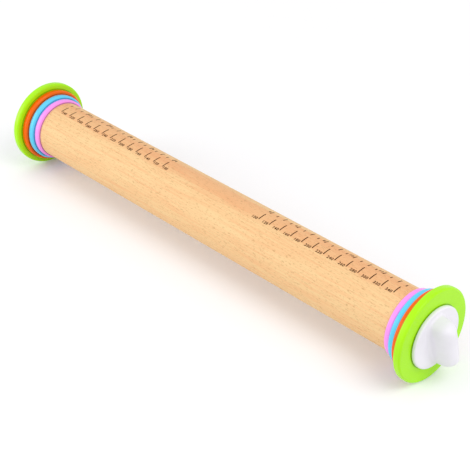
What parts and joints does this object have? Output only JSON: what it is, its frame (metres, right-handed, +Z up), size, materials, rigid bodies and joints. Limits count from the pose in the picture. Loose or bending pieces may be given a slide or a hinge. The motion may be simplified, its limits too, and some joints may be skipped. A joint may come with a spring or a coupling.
{
  "type": "adjustable rolling pin",
  "caption": "Wooden rolling pin with stacked, lift-off thickness rings and a screw-in grip knob at each end.",
  "frame": {"origin": "middle of the pin, on its axis", "axes": "+X along the axis towards the right-hand knob (the near one in the picture), +Z up, pin lying on its green rings"},
  "size_m": [0.4352, 0.067, 0.067],
  "materials": {
    "beech": "fine-sanded, unvarnished, with burnt scales",
    "pink_plastic": "smooth moulded",
    "blue_plastic": "smooth moulded",
    "orange_plastic": "smooth moulded",
    "green_plastic": "smooth moulded",
    "white_plastic": "smooth moulded",
    "grey_fibre": "pressed fibre",
    "zinc_steel": "zinc plated",
    "brass": "turned"
  },
  "bodies": {
    "roller": {"roller": "beech", "threaded_insert_left": "brass", "threaded_insert_right": "brass"},
    "pink_ring_left": {"pink_ring_left": "pink_plastic"},
    "blue_ring_left": {"blue_ring_left": "blue_plastic"},
    "orange_ring_left": {"orange_ring_left": "orange_plastic"},
    "green_ring_left": {"green_ring_left": "green_plastic"},
    "thrust_washer_left": {"thrust_washer_left": "grey_fibre"},
    "knob_left": {"knob_bolt_left": "zinc_steel", "bolt_washer_left": "zinc_steel", "lock_nut_left": "zinc_steel", "knob_back_plate_left": "white_plastic", "knob_shell_left": "white_plastic"},
    "pink_ring_right": {"pink_ring_right": "pink_plastic"},
    "blue_ring_right": {"blue_ring_right": "blue_plastic"},
    "orange_ring_right": {"orange_ring_right": "orange_plastic"},
    "green_ring_right": {"green_ring_right": "green_plastic"},
    "thrust_washer_right": {"thrust_washer_right": "grey_fibre"},
    "knob_right": {"knob_bolt_right": "zinc_steel", "bolt_washer_right": "zinc_steel", "lock_nut_right": "zinc_steel", "knob_back_plate_right": "white_plastic", "knob_shell_right": "white_plastic"}
  },
  "joints": [
    {"name": "pink_ring_slide_left", "type": "slide", "parent": "roller", "child": "pink_ring_left", "axis": [-1, 0, 0], "range_m": [0, 0.06]},
    {"name": "blue_ring_slide_left", "type": "slide", "parent": "roller", "child": "blue_ring_left", "axis": [-1, 0, 0], "range_m": [0, 0.06]},
    {"name": "orange_ring_slide_left", "type": "slide", "parent": "roller", "child": "orange_ring_left", "axis": [-1, 0, 0], "range_m": [0, 0.06]},
    {"name": "green_ring_slide_left", "type": "slide", "parent": "roller", "child": "green_ring_left", "axis": [-1, 0, 0], "range_m": [0, 0.06]},
    {"name": "knob_travel_left", "type": "slide", "parent": "green_ring_left", "child": "thrust_washer_left", "axis": [-1, 0, 0], "range_m": [0, 0.0107]},
    {"name": "knob_turn_left", "type": "hinge", "parent": "thrust_washer_left", "child": "knob_left", "pos_m": [-0.1999, 0, 0], "axis": [-1, 0, 0], "range_deg": [0, 4770]},
    {"name": "pink_ring_slide_right", "type": "slide", "parent": "roller", "child": "pink_ring_right", "axis": [1, 0, 0], "range_m": [0, 0.06]},
    {"name": "blue_ring_slide_right", "type": "slide", "parent": "roller", "child": "blue_ring_right", "axis": [1, 0, 0], "range_m": [0, 0.06]},
    {"name": "orange_ring_slide_right", "type": "slide", "parent": "roller", "child": "orange_ring_right", "axis": [1, 0, 0], "range_m": [0, 0.06]},
    {"name": "green_ring_slide_right", "type": "slide", "parent": "roller", "child": "green_ring_right", "axis": [1, 0, 0], "range_m": [0, 0.06]},
    {"name": "knob_travel_right", "type": "slide", "parent": "green_ring_right", "child": "thrust_washer_right", "axis": [1, 0, 0], "range_m": [0, 0.0107]},
    {"name": "knob_turn_right", "type": "hinge", "parent": "thrust_washer_right", "child": "knob_right", "pos_m": [0.1999, 0, 0], "axis": [1, 0, 0], "range_deg": [0, 4770]}
  ],
  "couplings": [
    {"joint": "pink_ring_slide_left", "follows": "green_ring_slide_left", "ratio": 0.4},
    {"joint": "blue_ring_slide_left", "follows": "green_ring_slide_left", "ratio": 0.6},
    {"joint": "orange_ring_slide_left", "follows": "green_ring_slide_left", "ratio": 0.8},
    {"joint": "knob_travel_left", "follows": "knob_turn_left", "m_per_rad": 0.00012732},
    {"joint": "pink_ring_slide_right", "follows": "green_ring_slide_right", "ratio": 0.4},
    {"joint": "blue_ring_slide_right", "follows": "green_ring_slide_right", "ratio": 0.6},
    {"joint": "orange_ring_slide_right", "follows": "green_ring_slide_right", "ratio": 0.8},
    {"joint": "knob_travel_right", "follows": "knob_turn_right", "m_per_rad": 0.00012732}
  ]
}
